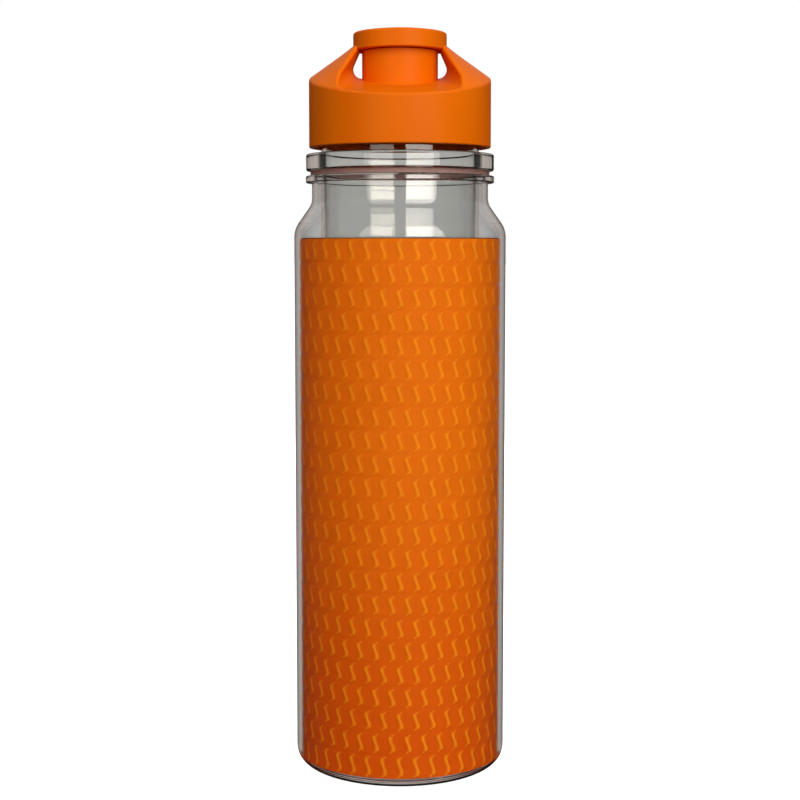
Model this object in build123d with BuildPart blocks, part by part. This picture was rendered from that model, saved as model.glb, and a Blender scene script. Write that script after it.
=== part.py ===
from build123d import *
from math import atan, cos, hypot, radians, sin, sqrt
import os

# A double-wall drinking bottle, in millimetres. It stands on z = 0, its axis is Z and the two arms
# of its cap lie along X. The pieces follow from the outer shell inwards, and then up to the spout.

# Outer shell
BODY_R = 36.5
SHELL_WALL = 1.6
SHELL_FLOOR_Z = 3.4
BASE_CORNER_R = 6.0
BASE_DISH_R = 26.0
BASE_DISH_DEPTH = 1.2
SHOULDER_Z = 184.6
SHOULDER_ANGLE = 35
CROWN_R = 8.3
THROAT_R = 6.0
NECK_R = 30.3
RIM_R = 32.4
RIM_Z = 203.0
RIM_TOP_Z = 205.4
RIM_ROUND = 0.5

# Sleeve, its backing card and the tape inside its seam
SLEEVE_R = 34.6
SLEEVE_SHEET = 0.6
SLEEVE_BOTTOM_Z = 3.9
SLEEVE_TOP_Z = 184.0
LAYER_GAP = 0.05
BACKING_SHEET = 0.4
BACKING_PROUD = 0.3
SEAM_GAP = 0.8
TAPE_WIDTH = 12.0
TAPE_SHEET = 0.15

# Inner liner and its seal
LINER_R = 27.3
LINER_WALL = 1.7
LINER_BOTTOM_Z = 6.0
LINER_FLOOR = 2.0
LINER_CORNER_R = 6.0
FLANGE_R = 32.3
FLANGE_Z = 207.1
FLANGE_TOP_Z = 212.8
FLANGE_ROUND = 0.7
MOUTH_R = 27.1
MOUTH_TOP_Z = 225.3
MOUTH_ROUND = 0.5
SEAL_R = 30.8
FACE_GAP = 0.05

# Two-start thread between the mouth and the cap
LEAD = 6.0
STARTS = 2
RIDGE_HEIGHT = 1.2
RIDGE_ROOT = 1.5
RIDGE_CREST = 0.7
RIDGE_SINK = 0.25
THREAD_Z = 216.6
MOUTH_THREAD_RISE = 6.0
CAP_THREAD_RISE = 4.2
CAP_THREAD_TURN = -90

# Cap shell: a drum whose deck falls to the front and back, with an arm on each side
CAP_R = 31.2
CAP_Z = 215.0
CAP_WALL = 1.5
CAP_FOOT_ROUND = 0.4
SHOULDER_ROUND = 1.5
RIDGE_Z = 238.6
DECK_SLOPE = 0.245
DECK_WALL = 1.8
ARM_TOP_R = 16.6
ARM_TOP_Z = 248.9
ARM_WALL = 2.0
ARM_ROUND = 0.8
WINDOW_WAIST_HALF = 17.6
WINDOW_WAIST_SLOPE = 0.45
WINDOW_END_HALF = 27.6
WINDOW_END_SLOPE = 0.57
WINDOW_DEPTH = 40.0
WINDOW_TOP_Z = 250.0
WINDOW_ROUND = 3.0
COLUMN_R = 13.0
COLUMN_BORE_R = 12.1
COLLAR_R = 13.8
COLLAR_TOP_Z = 236.3
COLLAR_CHAMFER = 0.6
SEAT_R = 16.3
SEAT_Z = 247.6
DECK_VENT_Y = 21.0
DECK_VENT_R = 0.8

# Inside the cap: the thread ring, and the plate with the chimney that the spout slides in
RING_OUTER_R = 29.65
RING_Z = 215.4
RING_BORE_R = 28.6
PLATE_Z = 226.9
PLATE_TOP_Z = 228.7
CHIMNEY_R = 12.0
CHIMNEY_BORE_R = 10.6
CHIMNEY_TOP_Z = 247.3
CHIMNEY_LIP_R = 10.0
CHIMNEY_LIP_Z = 245.2
VENT_Y = 17.5
VENT_HOLE_R = 1.5
AIR_HOLE_R = 0.6
AIR_HOLES = 3
AIR_PITCH_R = 2.7

# Air valve, gasket and plug
UMBRELLA_R = 4.0
UMBRELLA_SHEET = 0.7
VENT_STEM_R = 1.45
VENT_BULB_R = 2.1
VENT_BULB_HEIGHT = 1.2
GASKET_R = 28.3
GASKET_HOLE_R = 22.8
PLUG_R = 3.0
PLUG_TOP_Z = 254.6
PLUG_ROUND = 0.5
SPIDER_Z = 229.0
SPIDER_HEIGHT = 2.2
SPIDER_R = 10.55
SPIDER_HOLE_R = 8.8
SPIDER_SPOKES = 3
SPOKE_WIDTH = 1.8

# Pull-up spout and the ring in its groove
DISC_R = 16.0
DISC_Z = 247.9
DISC_EDGE_Z = 253.8
DISC_ROUND = 0.8
DISC_FOOT_ROUND = 0.4
DOME_R = 89.0
STEM_R = 9.85
STEM_HOLE_R = 7.4
STEM_Z = 235.0
SNAP_R = 10.35
SNAP_Z = 237.7
SNAP_HEIGHT = 1.2
GROOVE_R = 9.0
GROOVE_Z = 235.6
GROOVE_HEIGHT = 1.7
O_RING_WIRE_R = 0.75
O_RING_R = 9.78
CHAMBER_TOP_Z = 251.0
DRINK_HOLE_R = 3.05
DRINK_DISH_R = 5.5
DRINK_DISH_DEPTH = 0.8

# Worked out from the sizes above
FALL = atan(DECK_SLOPE)
BACKING_R = SLEEVE_R - SLEEVE_SHEET - LAYER_GAP
TAPE_R = BACKING_R - BACKING_SHEET - LAYER_GAP
DOME_CENTRE_Z = DISC_EDGE_Z - sqrt(DOME_R**2 - DISC_R**2)

os.makedirs("parts", exist_ok=True)


def finish(block, name):
    """Names the finished piece and writes its file."""
    block.part.label = name
    export_step(block.part, f"parts/{name}.step")


def circles_at(block, radius, low, high):
    """The round edges of that radius whose centres lie between two heights."""
    return [
        edge
        for edge in block.edges().filter_by(GeomType.CIRCLE)
        if abs(edge.radius - radius) < 0.01 and low < edge.arc_center.Z < high
    ]


# ---- Outer shell ---------------------------------------------------------------------------------
def shoulder_line(inset):
    """The outline from the body wall in to the neck, moved inwards by inset. Returns its end."""
    slope = radians(SHOULDER_ANGLE)
    drop = BODY_R - NECK_R - (CROWN_R + THROAT_R) * (1 - cos(slope))
    crown = JernArc((BODY_R - inset, SHOULDER_Z), (0, 1), CROWN_R - inset, SHOULDER_ANGLE)
    run = PolarLine(crown @ 1, drop / sin(slope), direction=crown % 1)
    throat = JernArc(run @ 1, run % 1, THROAT_R + inset, -SHOULDER_ANGLE)
    return throat @ 1


with BuildPart() as outer_shell:
    with BuildSketch(Plane.XZ):
        with BuildLine():
            Polyline(
                (0, SHELL_FLOOR_Z),
                (0, BASE_DISH_DEPTH),
                (BASE_DISH_R, BASE_DISH_DEPTH),
                (BASE_DISH_R + BASE_DISH_DEPTH, 0),
                (BODY_R - BASE_CORNER_R, 0),
            )
            JernArc((BODY_R - BASE_CORNER_R, 0), (1, 0), BASE_CORNER_R, 90)
            Line((BODY_R, BASE_CORNER_R), (BODY_R, SHOULDER_Z))
            neck_foot = shoulder_line(0)
            Polyline(
                neck_foot,
                (NECK_R, RIM_Z),
                (RIM_R, RIM_Z),
                (RIM_R, RIM_TOP_Z),
                (NECK_R - SHELL_WALL, RIM_TOP_Z),
                (NECK_R - SHELL_WALL, neck_foot.Y),
            )
            shoulder_line(SHELL_WALL)
            Polyline(
                (BODY_R - SHELL_WALL, SHOULDER_Z),
                (BODY_R - SHELL_WALL, SHELL_FLOOR_Z),
                (0, SHELL_FLOOR_Z),
            )
        make_face()
    revolve(axis=Axis.Z)
    fillet(circles_at(outer_shell, RIM_R, RIM_Z - 1, RIM_TOP_Z + 1), RIM_ROUND)
finish(outer_shell, "outer_shell")


# ---- Sleeve, backing card and seam tape ----------------------------------------------------------
def rolled_sheet(radius, sheet, top_z):
    """A sheet rolled to radius. Its two edges meet at the back, a seam's gap apart."""
    with BuildPart() as roll:
        with BuildSketch(Plane.XY.offset(SLEEVE_BOTTOM_Z)):
            Circle(radius)
            Circle(radius - sheet, mode=Mode.SUBTRACT)
            with Locations((0, radius)):
                Rectangle(SEAM_GAP, 4 * sheet, mode=Mode.SUBTRACT)
        extrude(amount=top_z - SLEEVE_BOTTOM_Z)
    return roll


decor_sleeve = rolled_sheet(SLEEVE_R, SLEEVE_SHEET, SLEEVE_TOP_Z)
finish(decor_sleeve, "decor_sleeve")

sleeve_backing = rolled_sheet(BACKING_R, BACKING_SHEET, SLEEVE_TOP_Z + BACKING_PROUD)
finish(sleeve_backing, "sleeve_backing")

with BuildPart() as seam_tape:
    with BuildSketch(Plane.XY.offset(SLEEVE_BOTTOM_Z)):
        Circle(TAPE_R)
        Circle(TAPE_R - TAPE_SHEET, mode=Mode.SUBTRACT)
        with Locations((0, TAPE_R)):
            Rectangle(TAPE_WIDTH, TAPE_WIDTH, mode=Mode.INTERSECT)
    extrude(amount=SLEEVE_TOP_Z - SLEEVE_BOTTOM_Z)
finish(seam_tape, "seam_tape")


# ---- Thread ridges -------------------------------------------------------------------------------
def ridge(wall_r, rise, turn, side):
    """One helical ridge on a wall of radius wall_r. Side is 1 for outwards and -1 for inwards."""
    helix = Helix(pitch=LEAD, height=rise, radius=wall_r, center=(0, 0, THREAD_Z))
    path = helix.rotate(Axis.Z, turn)
    foot = path @ 0
    outward = Vector(foot.X, foot.Y, 0).normalized()
    with BuildPart() as thread:
        with BuildSketch(Plane(origin=foot, x_dir=outward, z_dir=path % 0)):
            with BuildLine():
                Polyline(
                    (-side * RIDGE_SINK, -RIDGE_ROOT / 2),
                    (side * RIDGE_HEIGHT, -RIDGE_CREST / 2),
                    (side * RIDGE_HEIGHT, RIDGE_CREST / 2),
                    (-side * RIDGE_SINK, RIDGE_ROOT / 2),
                    close=True,
                )
            make_face()
        sweep(path=path, is_frenet=True)
    return thread.part


mouth_ridges = [
    ridge(MOUTH_R, MOUTH_THREAD_RISE, 360 / STARTS * start, 1) for start in range(STARTS)
]
cap_ridges = [
    ridge(RING_BORE_R, CAP_THREAD_RISE, CAP_THREAD_TURN + 360 / STARTS * start, -1)
    for start in range(STARTS)
]

# ---- Inner liner and its seal --------------------------------------------------------------------
LINER_BORE_R = LINER_R - LINER_WALL
LINER_TURN_Z = LINER_BOTTOM_Z + LINER_CORNER_R

with BuildPart() as inner_liner:
    with BuildSketch(Plane.XZ):
        with BuildLine():
            Polyline(
                (0, LINER_BOTTOM_Z + LINER_FLOOR),
                (0, LINER_BOTTOM_Z),
                (LINER_R - LINER_CORNER_R, LINER_BOTTOM_Z),
            )
            JernArc((LINER_R - LINER_CORNER_R, LINER_BOTTOM_Z), (1, 0), LINER_CORNER_R, 90)
            Polyline(
                (LINER_R, LINER_TURN_Z),
                (LINER_R, FLANGE_Z),
                (FLANGE_R, FLANGE_Z),
                (FLANGE_R, FLANGE_TOP_Z),
                (MOUTH_R, FLANGE_TOP_Z),
                (MOUTH_R, MOUTH_TOP_Z),
                (LINER_BORE_R, MOUTH_TOP_Z),
                (LINER_BORE_R, LINER_TURN_Z),
            )
            floor_arc = JernArc(
                (LINER_BORE_R, LINER_TURN_Z), (0, -1), LINER_CORNER_R - LINER_FLOOR, -90
            )
            Line(floor_arc @ 1, (0, LINER_BOTTOM_Z + LINER_FLOOR))
        make_face()
    revolve(axis=Axis.Z)
    fillet(circles_at(inner_liner, FLANGE_R, FLANGE_Z - 1, FLANGE_TOP_Z + 1), FLANGE_ROUND)
    fillet(circles_at(inner_liner, MOUTH_R, MOUTH_TOP_Z - 1, MOUTH_TOP_Z + 1), MOUTH_ROUND)
    add(mouth_ridges)
finish(inner_liner, "inner_liner")

with BuildPart() as liner_seal:
    with BuildSketch(Plane.XY.offset(RIM_TOP_Z + FACE_GAP)):
        Circle(SEAL_R)
        Circle(LINER_R + FACE_GAP, mode=Mode.SUBTRACT)
    extrude(amount=FLANGE_Z - RIM_TOP_Z - 2 * FACE_GAP)
finish(liner_seal, "liner_seal")

# ---- Cap gasket ----------------------------------------------------------------------------------
with BuildPart() as cap_gasket:
    with BuildSketch(Plane.XY.offset(MOUTH_TOP_Z + FACE_GAP)):
        Circle(GASKET_R)
        Circle(GASKET_HOLE_R, mode=Mode.SUBTRACT)
    extrude(amount=PLATE_Z - MOUTH_TOP_Z - 2 * FACE_GAP)
finish(cap_gasket, "cap_gasket")


# ---- Cap shell -----------------------------------------------------------------------------------
def front_roof(ridge_z):
    """The plane that falls from the ridge at y = 0 towards the front."""
    return Plane(origin=(0, 0, ridge_z), x_dir=(1, 0, 0), z_dir=(0, -sin(FALL), cos(FALL)))


def roofed_drum(radius, ridge_z, top_r, top_z):
    """A drum with a two-sided roof, under an oblique cone that rises to a round top."""
    roof = front_roof(ridge_z)
    with BuildPart() as cone:
        with BuildSketch(roof):
            Ellipse(radius, radius / cos(FALL))
        with BuildSketch(Plane.XY.offset(top_z)):
            Circle(top_r)
        loft(ruled=True)
    with BuildPart() as drum:
        with BuildSketch(Plane.XY.offset(CAP_Z)):
            Circle(radius)
        extrude(amount=2 * radius)
        split(bisect_by=roof, keep=Keep.BOTTOM)
        add(cone.part)
        split(bisect_by=Plane.XZ, keep=Keep.TOP)
        mirror(about=Plane.XZ)
    return drum.part


def window(grow):
    """The opening between the two arms, with the deck as its floor, made larger by grow.

    It is narrowest half way through and widens to the front and back."""
    with BuildPart() as opening:
        for depth, half, slope in (
            (0, WINDOW_WAIST_HALF, WINDOW_WAIST_SLOPE),
            (WINDOW_DEPTH, WINDOW_END_HALF, WINDOW_END_SLOPE),
        ):
            floor_z = RIDGE_Z - grow - depth * DECK_SLOPE
            foot_half = half + grow * (slope + hypot(1, slope))
            top_half = foot_half - (WINDOW_TOP_Z - floor_z) * slope
            with BuildSketch(Plane.XZ.offset(depth)) as outline:
                Polygon(
                    (-foot_half, floor_z),
                    (foot_half, floor_z),
                    (top_half, WINDOW_TOP_Z),
                    (-top_half, WINDOW_TOP_Z),
                    align=None,
                )
                fillet(outline.vertices().group_by(Axis.Y)[0], WINDOW_ROUND)
        loft(ruled=True)
        mirror(about=Plane.XZ)
    return opening.part


cap_form = roofed_drum(CAP_R, RIDGE_Z, ARM_TOP_R, ARM_TOP_Z)
core_form = roofed_drum(
    CAP_R - CAP_WALL, RIDGE_Z - DECK_WALL, ARM_TOP_R - ARM_WALL, ARM_TOP_Z - ARM_WALL
)
arm_window = window(0)
core_window = window(DECK_WALL)

with BuildPart() as cap_core:
    add(core_form)
    add(core_window, mode=Mode.SUBTRACT)
    with BuildSketch(Plane.XY.offset(PLATE_TOP_Z)):
        Circle(COLLAR_R)
    extrude(amount=WINDOW_TOP_Z - PLATE_TOP_Z, mode=Mode.SUBTRACT)

with BuildPart() as cap_shell:
    add(cap_form)
    shoulder_edges = [
        edge
        for edge in cap_shell.edges()
        if edge.geom_type != GeomType.LINE and CAP_Z + 1 < edge.center().Z < RIDGE_Z + 0.1
    ]
    fillet(shoulder_edges, SHOULDER_ROUND)
    add(arm_window, mode=Mode.SUBTRACT)
    arm_edges = [
        edge
        for edge in cap_shell.edges()
        if edge.geom_type != GeomType.LINE
        and edge.length > 3
        and COLUMN_R - 1 < abs(edge.center().X) < WINDOW_END_HALF
        and abs(edge.center().Y) > 10
        and RIDGE_Z - 6 < edge.center().Z < SEAT_Z + 0.5
    ]
    fillet(arm_edges, ARM_ROUND)
    with BuildSketch(Plane.XY.offset(PLATE_TOP_Z + 1)):
        Circle(COLUMN_R)
    extrude(amount=ARM_TOP_Z - PLATE_TOP_Z - 1)
    with BuildSketch(Plane.XZ):
        with BuildLine():
            Polyline(
                (0, PLATE_TOP_Z + 2),
                (COLLAR_R, PLATE_TOP_Z + 2),
                (COLLAR_R, COLLAR_TOP_Z - COLLAR_CHAMFER),
                (COLLAR_R - COLLAR_CHAMFER, COLLAR_TOP_Z),
                (0, COLLAR_TOP_Z),
                close=True,
            )
        make_face()
    revolve(axis=Axis.Z)
    with BuildSketch(Plane.XY.offset(SEAT_Z)):
        Circle(SEAT_R)
    extrude(amount=WINDOW_TOP_Z - SEAT_Z, mode=Mode.SUBTRACT)
    fillet(circles_at(cap_shell, CAP_R, CAP_Z - 1, CAP_Z + 1), CAP_FOOT_ROUND)
    add(cap_core.part, mode=Mode.SUBTRACT)
    with BuildSketch(Plane.XY.offset(CAP_Z)):
        Circle(COLUMN_BORE_R)
    extrude(amount=WINDOW_TOP_Z - CAP_Z, mode=Mode.SUBTRACT)
    with BuildSketch(Plane.XY.offset(PLATE_TOP_Z)):
        with Locations((0, DECK_VENT_Y)):
            Circle(DECK_VENT_R)
    extrude(amount=RIDGE_Z - PLATE_TOP_Z, mode=Mode.SUBTRACT)
finish(cap_shell, "cap_shell")

# ---- Thread ring and spout guide inside the cap ---------------------------------------------------
with BuildPart() as thread_ring:
    with BuildSketch(Plane.XY.offset(RING_Z)):
        Circle(RING_OUTER_R)
        Circle(RING_BORE_R, mode=Mode.SUBTRACT)
    extrude(amount=PLATE_Z - FACE_GAP - RING_Z)
    add(cap_ridges)
finish(thread_ring, "thread_ring")

with BuildPart() as spout_guide:
    with BuildSketch(Plane.XZ):
        with BuildLine():
            Polyline(
                (RING_OUTER_R, PLATE_Z),
                (RING_OUTER_R, PLATE_TOP_Z),
                (CHIMNEY_R, PLATE_TOP_Z),
                (CHIMNEY_R, CHIMNEY_TOP_Z),
                (CHIMNEY_LIP_R, CHIMNEY_TOP_Z),
                (CHIMNEY_LIP_R, CHIMNEY_LIP_Z),
                (CHIMNEY_BORE_R, CHIMNEY_LIP_Z),
                (CHIMNEY_BORE_R, PLATE_Z),
                close=True,
            )
        make_face()
    revolve(axis=Axis.Z)
    with Locations((0, VENT_Y, PLATE_TOP_Z)):
        Hole(VENT_HOLE_R, depth=PLATE_TOP_Z - PLATE_Z)
        with PolarLocations(AIR_PITCH_R, AIR_HOLES):
            Hole(AIR_HOLE_R, depth=PLATE_TOP_Z - PLATE_Z)
finish(spout_guide, "spout_guide")

# ---- Air valve -----------------------------------------------------------------------------------
with BuildPart() as air_valve:
    with BuildSketch(Plane.XZ.offset(-VENT_Y)):
        with BuildLine():
            Polyline(
                (0, PLATE_Z - FACE_GAP - UMBRELLA_SHEET),
                (UMBRELLA_R, PLATE_Z - FACE_GAP - UMBRELLA_SHEET / 2),
                (UMBRELLA_R, PLATE_Z - FACE_GAP),
                (VENT_STEM_R, PLATE_Z - FACE_GAP),
                (VENT_STEM_R, PLATE_TOP_Z + FACE_GAP),
                (VENT_BULB_R, PLATE_TOP_Z + FACE_GAP),
                (VENT_STEM_R, PLATE_TOP_Z + VENT_BULB_HEIGHT),
                (0, PLATE_TOP_Z + VENT_BULB_HEIGHT),
                close=True,
            )
        make_face()
    revolve(axis=Axis((0, VENT_Y, 0), (0, 0, 1)))
finish(air_valve, "air_valve")

# ---- Plug pin on its spider ----------------------------------------------------------------------
with BuildPart() as plug_pin:
    with BuildSketch(Plane.XY.offset(SPIDER_Z)):
        Circle(SPIDER_R)
        Circle(SPIDER_HOLE_R, mode=Mode.SUBTRACT)
        Circle(PLUG_R)
        with PolarLocations(SPIDER_HOLE_R / 2, SPIDER_SPOKES):
            Rectangle(SPIDER_HOLE_R, SPOKE_WIDTH)
    extrude(amount=SPIDER_HEIGHT)
    with BuildSketch(Plane.XY.offset(SPIDER_Z)):
        Circle(PLUG_R)
    extrude(amount=PLUG_TOP_Z - SPIDER_Z)
    fillet(circles_at(plug_pin, PLUG_R, PLUG_TOP_Z - 1, PLUG_TOP_Z + 1), PLUG_ROUND)
finish(plug_pin, "plug_pin")


# ---- Pull-up spout and its ring ------------------------------------------------------------------
def dome_z(radius):
    """Height of the domed top at that radius."""
    return DOME_CENTRE_Z + sqrt(DOME_R**2 - radius**2)


with BuildPart() as pull_spout:
    with BuildSketch(Plane.XZ):
        with BuildLine():
            RadiusArc((DRINK_DISH_R, dome_z(DRINK_DISH_R)), (DISC_R, DISC_EDGE_Z), DOME_R)
            Polyline(
                (DISC_R, DISC_EDGE_Z),
                (DISC_R, DISC_Z),
                (STEM_R, DISC_Z),
                (STEM_R, SNAP_Z + SNAP_HEIGHT),
                (SNAP_R, SNAP_Z + SNAP_HEIGHT),
                (SNAP_R, SNAP_Z + SNAP_HEIGHT / 2),
                (STEM_R, SNAP_Z),
                (STEM_R, GROOVE_Z + GROOVE_HEIGHT),
                (GROOVE_R, GROOVE_Z + GROOVE_HEIGHT),
                (GROOVE_R, GROOVE_Z),
                (STEM_R, GROOVE_Z),
                (STEM_R, STEM_Z),
                (STEM_HOLE_R, STEM_Z),
                (STEM_HOLE_R, CHAMBER_TOP_Z),
                (DRINK_HOLE_R, CHAMBER_TOP_Z),
                (DRINK_HOLE_R, dome_z(DRINK_DISH_R) - DRINK_DISH_DEPTH),
                (DRINK_DISH_R, dome_z(DRINK_DISH_R)),
            )
        make_face()
    revolve(axis=Axis.Z)
    fillet(circles_at(pull_spout, DISC_R, DISC_EDGE_Z - 1, DISC_EDGE_Z + 1), DISC_ROUND)
    fillet(circles_at(pull_spout, DISC_R, DISC_Z - 1, DISC_Z + 1), DISC_FOOT_ROUND)
finish(pull_spout, "pull_spout")

with BuildPart() as spout_ring:
    with BuildSketch(Plane.XZ):
        with Locations((O_RING_R, GROOVE_Z + GROOVE_HEIGHT / 2)):
            Circle(O_RING_WIRE_R)
    revolve(axis=Axis.Z)
finish(spout_ring, "spout_ring")
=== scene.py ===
from math import atan2, cos, exp, pi, radians, sin, tau

import bpy
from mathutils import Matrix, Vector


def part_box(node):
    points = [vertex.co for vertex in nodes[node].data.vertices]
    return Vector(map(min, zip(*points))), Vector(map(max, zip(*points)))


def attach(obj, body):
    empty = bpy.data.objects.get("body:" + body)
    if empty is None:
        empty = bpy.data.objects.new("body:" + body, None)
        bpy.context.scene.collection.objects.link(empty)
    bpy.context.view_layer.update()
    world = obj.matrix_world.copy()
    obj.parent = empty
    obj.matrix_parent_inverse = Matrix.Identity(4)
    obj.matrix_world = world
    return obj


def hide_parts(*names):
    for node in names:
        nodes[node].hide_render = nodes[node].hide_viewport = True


# A clear double-wall drinking bottle with an embossed orange sleeve inside its wall. Sizes are in metres,
# the bottle stands on z = 0 and the camera looks along +Y.

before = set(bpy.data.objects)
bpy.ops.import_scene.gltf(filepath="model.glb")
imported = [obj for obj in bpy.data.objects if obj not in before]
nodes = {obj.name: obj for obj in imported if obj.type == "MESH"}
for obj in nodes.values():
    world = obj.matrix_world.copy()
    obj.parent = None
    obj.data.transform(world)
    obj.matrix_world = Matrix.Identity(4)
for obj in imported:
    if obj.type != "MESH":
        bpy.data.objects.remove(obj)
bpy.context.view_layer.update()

MM = 0.001
SLEEVE_LOW, SLEEVE_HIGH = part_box("decor_sleeve")

# Embossed sleeve
TILES_ROUND = 40
TILE_ROWS = 23
COLUMNS_PER_TILE = 8
LEVELS_PER_ROW = 13
SHEET = 0.45 * MM
SHEET_R = SLEEVE_HIGH.x - 0.20 * MM
RIDGE_RISE = 0.50 * MM
RIDGE_HALF_WIDTH = 0.80 * MM
RIDGE_SWAY = 0.70 * MM
RIDGE_HOOK = 1.5 * MM
HOOK_REACH = 0.09
GROOVE_HALF_WIDTH = 0.09
GROOVE_ARCH = 0.45 * MM
COLUMN_PINCH = 0.10
SEAM_HALF = 3.0 * MM
SEAM_SINK = 0.12 * MM

# The relief's height on the plain sheet, and how its ridges and grooves leave it
PLAIN = 0.35
RIDGE_GAIN = 0.65
GROOVE_LOSS = 0.12

# Camera and studio
CAMERA_DISTANCE = 569.3 * MM
CAMERA_HEIGHT = 181.8 * MM
CAMERA_TILT = 5.40
CAMERA_LENS = 73.7
PANEL_DISTANCE = 1.0
PANEL_BOTTOM = 0.197
PANEL_TALL = 1.10
ROOM_LOW = 0.01
ROOM_HIGH = 0.45
ROOM_THROUGH = 0.52
ROOM_GLANCE = (0.52, 0.46, 0.43, 1)
FILL_SIDE = (0.42, 0.06, 0.02, 1)
FILL_FRONT = (1.0, 0.92, 0.80, 1)
FILL_FROM = (0.35, -0.90, 0.22)
ROOM_DARK = 0.05


# ---- Shader maths ------------------------------------------------------------------------------------
class Value:
    """A node's output, so that shader maths reads as an ordinary expression."""

    def __init__(self, graph, socket):
        self.graph = graph
        self.socket = socket

    def __add__(self, other):
        return self.graph.maths("ADD", self, other)

    def __radd__(self, other):
        return self.graph.maths("ADD", other, self)

    def __sub__(self, other):
        return self.graph.maths("SUBTRACT", self, other)

    def __rsub__(self, other):
        return self.graph.maths("SUBTRACT", other, self)

    def __mul__(self, other):
        return self.graph.maths("MULTIPLY", self, other)

    def __rmul__(self, other):
        return self.graph.maths("MULTIPLY", other, self)


class Graph:
    """A node tree, and the one method that adds its nodes."""

    def __init__(self, tree):
        self.tree = tree

    def node(self, kind, settings, inputs, output=0):
        made = self.tree.nodes.new(kind)
        for name, value in settings.items():
            if name == "stops":
                self.set_stops(made.color_ramp, value)
            else:
                setattr(made, name, value)
        for socket, value in inputs.items():
            self.feed(made.inputs[socket], value)
        return Value(self, made.outputs[output])

    def set_stops(self, ramp, stops):
        while len(ramp.elements) < len(stops):
            ramp.elements.new(1.0)
        for element, (position, colour) in zip(ramp.elements, stops):
            element.position = position
            element.color = (*colour, 1.0)

    def maths(self, operation, first, second):
        return self.node("ShaderNodeMath", {"operation": operation}, {0: first, 1: second})

    def feed(self, socket, value):
        if isinstance(value, Value):
            self.tree.links.new(value.socket, socket)
        else:
            socket.default_value = value

    def ramp(self, value, low, high, new_low=0.0, new_high=1.0):
        sockets = {"Value": value, "From Min": low, "From Max": high}
        sockets |= {"To Min": new_low, "To Max": new_high}
        return self.node("ShaderNodeMapRange", {"interpolation_type": "SMOOTHSTEP"}, sockets)

    def mix(self, factor, first, second):
        settings = {"data_type": "RGBA"}
        return self.node("ShaderNodeMix", settings, {0: factor, 6: first, 7: second}, 2)


class Finish(Graph):
    """One material, with its Principled shader."""

    def __init__(self, name, **constants):
        self.material = bpy.data.materials.new(name)
        self.material.use_nodes = True
        super().__init__(self.material.node_tree)
        self.shader = self.tree.nodes["Principled BSDF"]
        for socket, value in constants.items():
            self.shader.inputs[socket.replace("_", " ")].default_value = value
        self.place = self.node("ShaderNodeTexCoord", {}, {}, "Object")

    def noise(self, scale, detail=2.0, stretch=(1.0, 1.0, 1.0)):
        """Noise on the object's own coordinates, stretched along the axes."""
        placed = self.node("ShaderNodeMapping", {}, {"Vector": self.place, "Scale": stretch})
        return self.node("ShaderNodeTexNoise", {}, {"Vector": placed, "Scale": scale, "Detail": detail})

    def bump(self, height, strength, distance):
        sockets = {"Height": height, "Strength": strength, "Distance": distance}
        self.paint(Normal=self.node("ShaderNodeBump", {}, sockets))

    def paint(self, **sockets):
        for socket, value in sockets.items():
            self.feed(self.shader.inputs[socket.replace("_", " ")], value)


# ---- Materials ---------------------------------------------------------------------------------------
def moulded_orange(name, deep, bright, roughness):
    """Satin moulded plastic: a faint flow pattern in its colour and a fine orange-peel skin."""
    finish = Finish(name, IOR=1.5, Specular_IOR_Level=0.07)
    flow = finish.noise(38.0, 3.0, (1.0, 1.0, 0.35))
    grain = finish.noise(2600.0, 2.0)
    finish.paint(
        Base_Color=finish.mix(finish.ramp(flow, 0.3, 0.7), (*deep, 1), (*bright, 1)),
        Roughness=finish.ramp(grain * 0.4 + flow * 0.6, 0.3, 0.7, roughness - 0.03, roughness + 0.05),
    )
    finish.bump(grain, 0.10, 0.05 * MM)
    return finish.material


def clear_plastic(name, tint, deep_tint, roughness):
    """Clear moulded plastic with faint flow waves, hairline scratches and a slightly warm body."""
    finish = Finish(name, IOR=1.49)
    finish.shader.inputs["Transmission Weight"].default_value = 1.0
    waves = finish.noise(22.0, 1.0, (1.0, 1.0, 0.25))
    scratches = finish.noise(900.0, 3.0, (1.0, 1.0, 0.04))
    finish.paint(
        Base_Color=finish.mix(finish.ramp(waves, 0.3, 0.7), (*tint, 1), (*deep_tint, 1)),
        Roughness=finish.ramp(scratches, 0.62, 0.80, roughness, roughness + 0.10),
    )
    finish.bump(waves, 0.25, 0.08 * MM)
    return finish.material


def embossed_orange():
    """Glossy embossed sheet with painted light: a painted highlight makes the ridges lighter, painted
    shade makes the grooves deeper, and painted shade makes it darker and redder towards the foot.
    """
    finish = Finish("embossed_orange_sheet", IOR=1.5, Specular_IOR_Level=0.05)
    relief = finish.node("ShaderNodeAttribute", {"attribute_name": "relief"}, {}, "Fac")
    height = finish.node("ShaderNodeSeparateXYZ", {}, {"Vector": finish.place}, "Z")
    cloud = finish.noise(26.0, 3.0)
    grain = finish.noise(3200.0, 2.0)
    # Painted shade: the sheet is painted darker and redder towards the foot, along a height ramp with a
    # little noise.
    foot = finish.ramp(height + cloud * 0.03, SLEEVE_LOW.z, SLEEVE_HIGH.z * 0.75, 1.0, 0.0)
    body = finish.mix(foot, (0.84, 0.185, 0.002, 1), (0.76, 0.105, 0.001, 1))
    # Painted highlight: the ridges are painted lighter and yellower.
    with_ridge_highlight = finish.mix(finish.ramp(relief, 0.50, 0.95), body, (0.95, 0.31, 0.009, 1))
    # Painted shade: the grooves are painted darker and redder.
    with_groove_shade = finish.mix(finish.ramp(relief, 0.02, 0.32), (0.78, 0.130, 0.001, 1), with_ridge_highlight)
    finish.paint(Base_Color=with_groove_shade, Roughness=finish.ramp(cloud + grain * 0.2, 0.4, 0.8, 0.30, 0.42))
    finish.bump(grain, 0.12, 0.04 * MM)
    return finish.material


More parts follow.
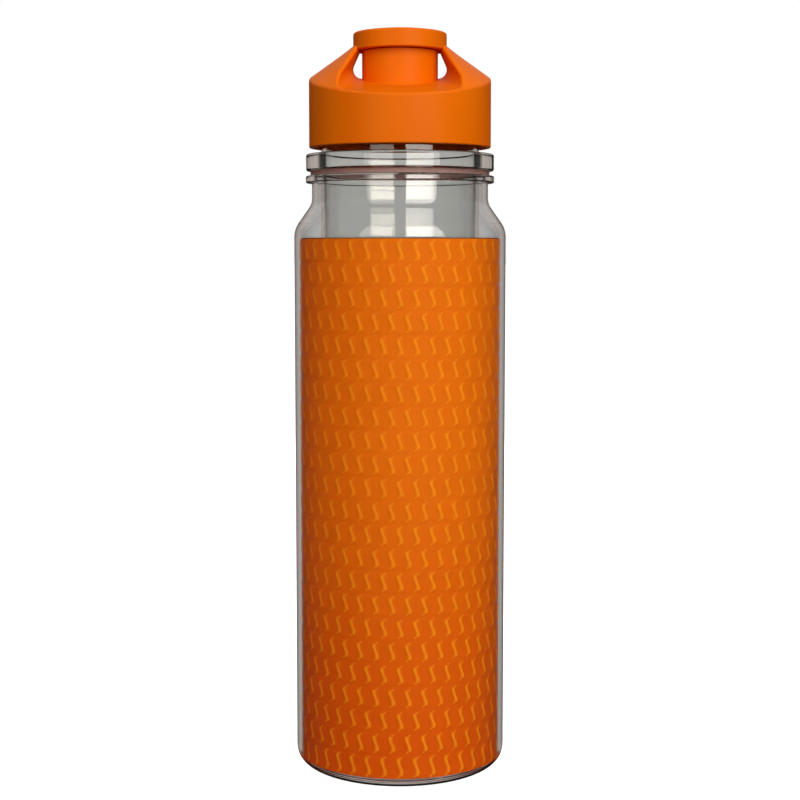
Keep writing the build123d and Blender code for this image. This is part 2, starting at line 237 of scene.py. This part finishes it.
def soft_rubber(name, colour, speck, clearness=0.0):
    """Soft moulded rubber: a dull skin with fine specks."""
    finish = Finish(name, IOR=1.42)
    finish.shader.inputs["Transmission Weight"].default_value = clearness
    skin = finish.noise(1500.0, 3.0)
    bloom = finish.noise(60.0, 2.0)
    finish.paint(
        Base_Color=finish.mix(finish.ramp(bloom, 0.35, 0.75), (*colour, 1), (*speck, 1)),
        Roughness=finish.ramp(skin, 0.3, 0.7, 0.50, 0.66),
    )
    finish.bump(skin, 0.15, 0.05 * MM)
    return finish.material


def dark_card():
    """Dull dark card with its fibres running round the bottle."""
    finish = Finish("dark_card", IOR=1.4)
    fibres = finish.noise(700.0, 4.0, (1.0, 1.0, 5.0))
    finish.paint(
        Base_Color=finish.mix(fibres, (0.030, 0.026, 0.022, 1), (0.075, 0.062, 0.052, 1)),
        Roughness=finish.ramp(fibres, 0.3, 0.7, 0.78, 0.92),
    )
    finish.bump(fibres, 0.3, 0.06 * MM)
    return finish.material


def clear_tape():
    """Clear tape with a few trapped bubbles."""
    finish = Finish("clear_tape", IOR=1.45)
    finish.shader.inputs["Transmission Weight"].default_value = 0.9
    bubbles = finish.noise(420.0, 2.0, (1.0, 1.0, 0.6))
    finish.paint(
        Base_Color=finish.mix(bubbles, (0.90, 0.88, 0.80, 1), (0.96, 0.95, 0.90, 1)),
        Roughness=finish.ramp(bubbles, 0.55, 0.70, 0.10, 0.45),
    )
    finish.bump(bubbles, 0.2, 0.05 * MM)
    return finish.material


# ---- Modelling helpers -------------------------------------------------------------------------------
def fresh():
    """Leaves nothing selected."""
    bpy.ops.object.select_all(action="DESELECT")


def wear(piece, material):
    """The piece shows this material alone."""
    piece.data.materials.clear()
    piece.data.materials.append(material)


def finished(name, piece, body, material, node):
    """Names a piece, gives it its material and lets it ride on its body in place of a CAD node."""
    piece.name = name
    piece.data.name = name
    wear(piece, material)
    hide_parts(node)
    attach(piece, body)
    return piece


# ---- Embossed sleeve ---------------------------------------------------------------------------------
def cut_across(sheet, cuts):
    """Cuts every upright edge of the sheet into equal lengths."""
    bpy.ops.object.mode_set(mode="EDIT")
    bpy.ops.mesh.select_mode(type="EDGE")
    bpy.ops.mesh.select_all(action="DESELECT")
    bpy.ops.object.mode_set(mode="OBJECT")
    for edge in sheet.data.edges:
        foot, head = (sheet.data.vertices[index].co for index in edge.vertices)
        edge.select = abs(foot.z - head.z) > 0.1 * MM
    bpy.ops.object.mode_set(mode="EDIT")
    bpy.ops.mesh.subdivide(number_cuts=cuts)
    bpy.ops.object.mode_set(mode="OBJECT")


def relief_at(across, up):
    """Height of the embossing, from 0 in a groove to 1 on a ridge, at a place in its tile."""
    hook = RIDGE_HOOK * (exp(-(((1 - up) / HOOK_REACH) ** 2)) - exp(-((up / HOOK_REACH) ** 2)))
    ridge = max(0.0, 1 - ((across - hook) / RIDGE_HALF_WIDTH) ** 2) * min(1.0, 12 * up, 12 * (1 - up))
    groove = max(0.0, 1 - min(up, 1 - up) / GROOVE_HALF_WIDTH)
    return PLAIN + RIDGE_GAIN * ridge - GROOVE_LOSS * groove


def embossed_sleeve():
    """The sheet's outer face: rows of tiles, each with an S-shaped ridge, every other row half a tile on.

    A plain strip at the back carries the seam."""
    height = SLEEVE_HIGH.z - SLEEVE_LOW.z
    row = height / TILE_ROWS
    turn = tau / TILES_ROUND
    fresh()
    bpy.ops.mesh.primitive_cylinder_add(
        vertices=TILES_ROUND * COLUMNS_PER_TILE,
        radius=SHEET_R,
        depth=height,
        end_fill_type="NOTHING",
        location=(0, 0, SLEEVE_LOW.z + height / 2),
    )
    sheet = bpy.context.object
    bpy.ops.object.transform_apply(location=True)
    cut_across(sheet, TILE_ROWS - 1)
    cut_across(sheet, LEVELS_PER_ROW - 1)
    # The relief attribute also steers the sleeve material's painted highlight on the ridges and painted
    # shade in the grooves.
    relief = sheet.data.attributes.new("relief", "FLOAT", "POINT")
    for vertex in sheet.data.vertices:
        level = (vertex.co.z - SLEEVE_LOW.z) / row
        course = min(int(level + 0.001), TILE_ROWS - 1)
        up = level - course
        angle = atan2(vertex.co.y, vertex.co.x)
        share = angle / turn + 0.5 * (course % 2)
        along = share - round(share)
        nearness = cos(pi * along) ** 2
        pinch = -COLUMN_PINCH * sin(tau * along) * sin(pi * up) ** 2
        sway = RIDGE_SWAY * sin(tau * up) * nearness
        across = (along + pinch) * turn * SHEET_R
        from_seam = abs(angle - pi / 2) * SHEET_R
        emboss = min(1.0, max(0.0, from_seam / SEAM_HALF - 1))
        rise_share = (relief_at(across, up) - PLAIN) * emboss
        relief.data[vertex.index].value = PLAIN + rise_share
        rise = RIDGE_RISE * rise_share - (SEAM_SINK if from_seam < 0.5 * MM else 0)
        arched = 0 < course < TILE_ROWS - 1
        arch = GROOVE_ARCH * cos(tau * along) * cos(pi * up) ** 2 * (1 if arched else 0)
        new_angle = angle + pinch * turn + sway / SHEET_R
        radius = SHEET_R + rise
        new_z = vertex.co.z + arch * (1 - 2 * (up > 0.5))
        vertex.co = (radius * cos(new_angle), radius * sin(new_angle), new_z)
    return sheet


def rolled_edges(sheet):
    """Turns the sheet's two rims inwards and gives it an inner face."""
    bpy.ops.object.mode_set(mode="EDIT")
    bpy.ops.mesh.select_mode(type="EDGE")
    bpy.ops.mesh.select_all(action="DESELECT")
    bpy.ops.mesh.select_non_manifold()
    shrink = (SHEET_R - SHEET) / SHEET_R
    bpy.ops.mesh.extrude_region_move()
    bpy.ops.transform.resize(value=(shrink, shrink, 1), center_override=(0, 0, 0))
    bpy.ops.mesh.bridge_edge_loops()
    bpy.ops.mesh.select_all(action="SELECT")
    bpy.ops.mesh.normals_make_consistent(inside=False)
    bpy.ops.object.mode_set(mode="OBJECT")


sheet = embossed_sleeve()
rolled_edges(sheet)
fresh()
sheet.select_set(True)
bpy.ops.object.shade_smooth_by_angle(angle=radians(50))
finished("embossed_sleeve", sheet, "shell", embossed_orange(), "decor_sleeve")

# ---- Finishes on the parts whose shape comes from the frame ---------------------------------------------
CLEAR_SHELL = clear_plastic("clear_shell_plastic", (0.995, 0.995, 0.99), (0.98, 0.98, 0.97), 0.0)
CLEAR_LINER = clear_plastic("clear_liner_plastic", (0.95, 0.95, 0.925), (0.90, 0.90, 0.87), 0.0)
CAP_ORANGE = moulded_orange("cap_orange_plastic", (0.74, 0.130, 0.000), (0.81, 0.155, 0.000), 0.40)
INNER_ORANGE = moulded_orange("inner_orange_plastic", (0.66, 0.100, 0.003), (0.74, 0.125, 0.004), 0.42)
SEAL = soft_rubber("clear_silicone", (0.68, 0.42, 0.38), (0.74, 0.50, 0.46), 0.75)
PALE_RUBBER = soft_rubber("pale_rubber", (0.70, 0.69, 0.65), (0.62, 0.61, 0.57))
BLACK_RUBBER = soft_rubber("black_rubber", (0.018, 0.018, 0.018), (0.035, 0.034, 0.032))

wear(nodes["outer_shell"], CLEAR_SHELL)
wear(nodes["inner_liner"], CLEAR_LINER)
wear(nodes["cap_shell"], CAP_ORANGE)
wear(nodes["pull_spout"], CAP_ORANGE)
wear(nodes["thread_ring"], INNER_ORANGE)
wear(nodes["spout_guide"], INNER_ORANGE)
wear(nodes["plug_pin"], INNER_ORANGE)
wear(nodes["liner_seal"], SEAL)
wear(nodes["cap_gasket"], PALE_RUBBER)
wear(nodes["air_valve"], PALE_RUBBER)
wear(nodes["spout_ring"], BLACK_RUBBER)
wear(nodes["sleeve_backing"], dark_card())
wear(nodes["seam_tape"], clear_tape())


# ---- Studio ------------------------------------------------------------------------------------------
def softbox(name, azimuth, width, power, colour):
    """An upright soft panel that faces the bottle. Azimuth 0 is in front, and positive is to the right."""
    turn = radians(azimuth)
    where = (PANEL_DISTANCE * sin(turn), -PANEL_DISTANCE * cos(turn), PANEL_BOTTOM + PANEL_TALL / 2)
    bpy.ops.object.light_add(type="AREA", location=where, rotation=(radians(90), 0, turn))
    light = bpy.context.object
    light.name = name
    light.data.shape = "RECTANGLE"
    light.data.size = width
    light.data.size_y = PANEL_TALL
    light.data.energy = power
    light.data.color = colour
    light.visible_camera = False
    return light


softbox("left_softbox", -26, 0.62, 4.3, (1.0, 0.92, 0.84))
softbox("right_softbox", 28, 0.72, 11.5, (1.0, 0.96, 0.90))
back_softbox = softbox("back_softbox", 180, 0.90, 8.0, (1.0, 0.96, 0.90))
back_softbox.visible_transmission = False
back_softbox.visible_glossy = False

# The room is white to look at. Through the clear walls it is grey, and dark towards the floor and the
# ceiling. On what stands inside those walls it shines from the front right and the back left, with a
# deep orange glow from the sides. In reflections inside the walls only its far end is bright.
world = bpy.data.worlds.new("studio")
bpy.context.scene.world = world
world.use_nodes = True
room = Graph(world.node_tree)
direction = room.node("ShaderNodeTexCoord", {}, {}, "Generated")
elevation = room.node("ShaderNodeSeparateXYZ", {}, {"Vector": direction}, "Z")
level = room.node("ShaderNodeMath", {"operation": "ABSOLUTE"}, {0: elevation})
rays = {
    name: room.node("ShaderNodeLightPath", {}, {}, name)
    for name in ("Is Camera Ray", "Is Transmission Ray", "Diffuse Depth", "Glossy Depth")
}
unscattered = room.maths("LESS_THAN", rays["Diffuse Depth"], 0.5)
unreflected = room.maths("LESS_THAN", rays["Glossy Depth"], 0.5)
through = room.ramp(level, 0.10, 0.50, ROOM_THROUGH, ROOM_DARK)
behind = room.node("ShaderNodeSeparateXYZ", {}, {"Vector": direction}, "Y")
glance = room.mix(room.ramp(behind, 0.70, 0.85), (ROOM_LOW, ROOM_LOW, ROOM_LOW, 1), ROOM_GLANCE)
seen_through = room.mix(unreflected, glance, through)
around = room.ramp(elevation, 0.10, 0.45, ROOM_LOW, ROOM_HIGH)
towards = {0: direction, 1: FILL_FROM}
facing = room.node("ShaderNodeVectorMath", {"operation": "DOT_PRODUCT"}, towards, "Value")
facing = room.node("ShaderNodeMath", {"operation": "ABSOLUTE"}, {0: facing})
fill = room.mix(room.ramp(facing, 0.0, 0.9), FILL_SIDE, FILL_FRONT)
inside = room.mix(unscattered, fill, seen_through)
lit = room.mix(rays["Is Transmission Ray"], around, inside)
background = room.tree.nodes["Background"]
room.feed(background.inputs["Color"], room.mix(rays["Is Camera Ray"], lit, (1, 1, 1, 1)))

fresh()
bpy.ops.mesh.primitive_plane_add(size=30.0, location=(0, 0, 0))
floor = bpy.context.object
floor.name = "pale_floor"
floor_finish = Finish("pale_floor", Roughness=0.9, Emission_Strength=0.90)
floor_finish.shader.inputs["Base Color"].default_value = (0.85, 0.85, 0.85, 1)
floor_finish.shader.inputs["Emission Color"].default_value = (1, 1, 1, 1)
wear(floor, floor_finish.material)
floor.visible_glossy = False
floor.visible_diffuse = False
floor.visible_transmission = False

bpy.ops.object.camera_add(
    location=(0, -CAMERA_DISTANCE, CAMERA_HEIGHT), rotation=(radians(90 - CAMERA_TILT), 0, 0)
)
camera = bpy.context.object
camera.data.lens = CAMERA_LENS
camera.data.sensor_width = 36.0
bpy.context.scene.camera = camera
bpy.context.scene.view_settings.view_transform = "Standard"
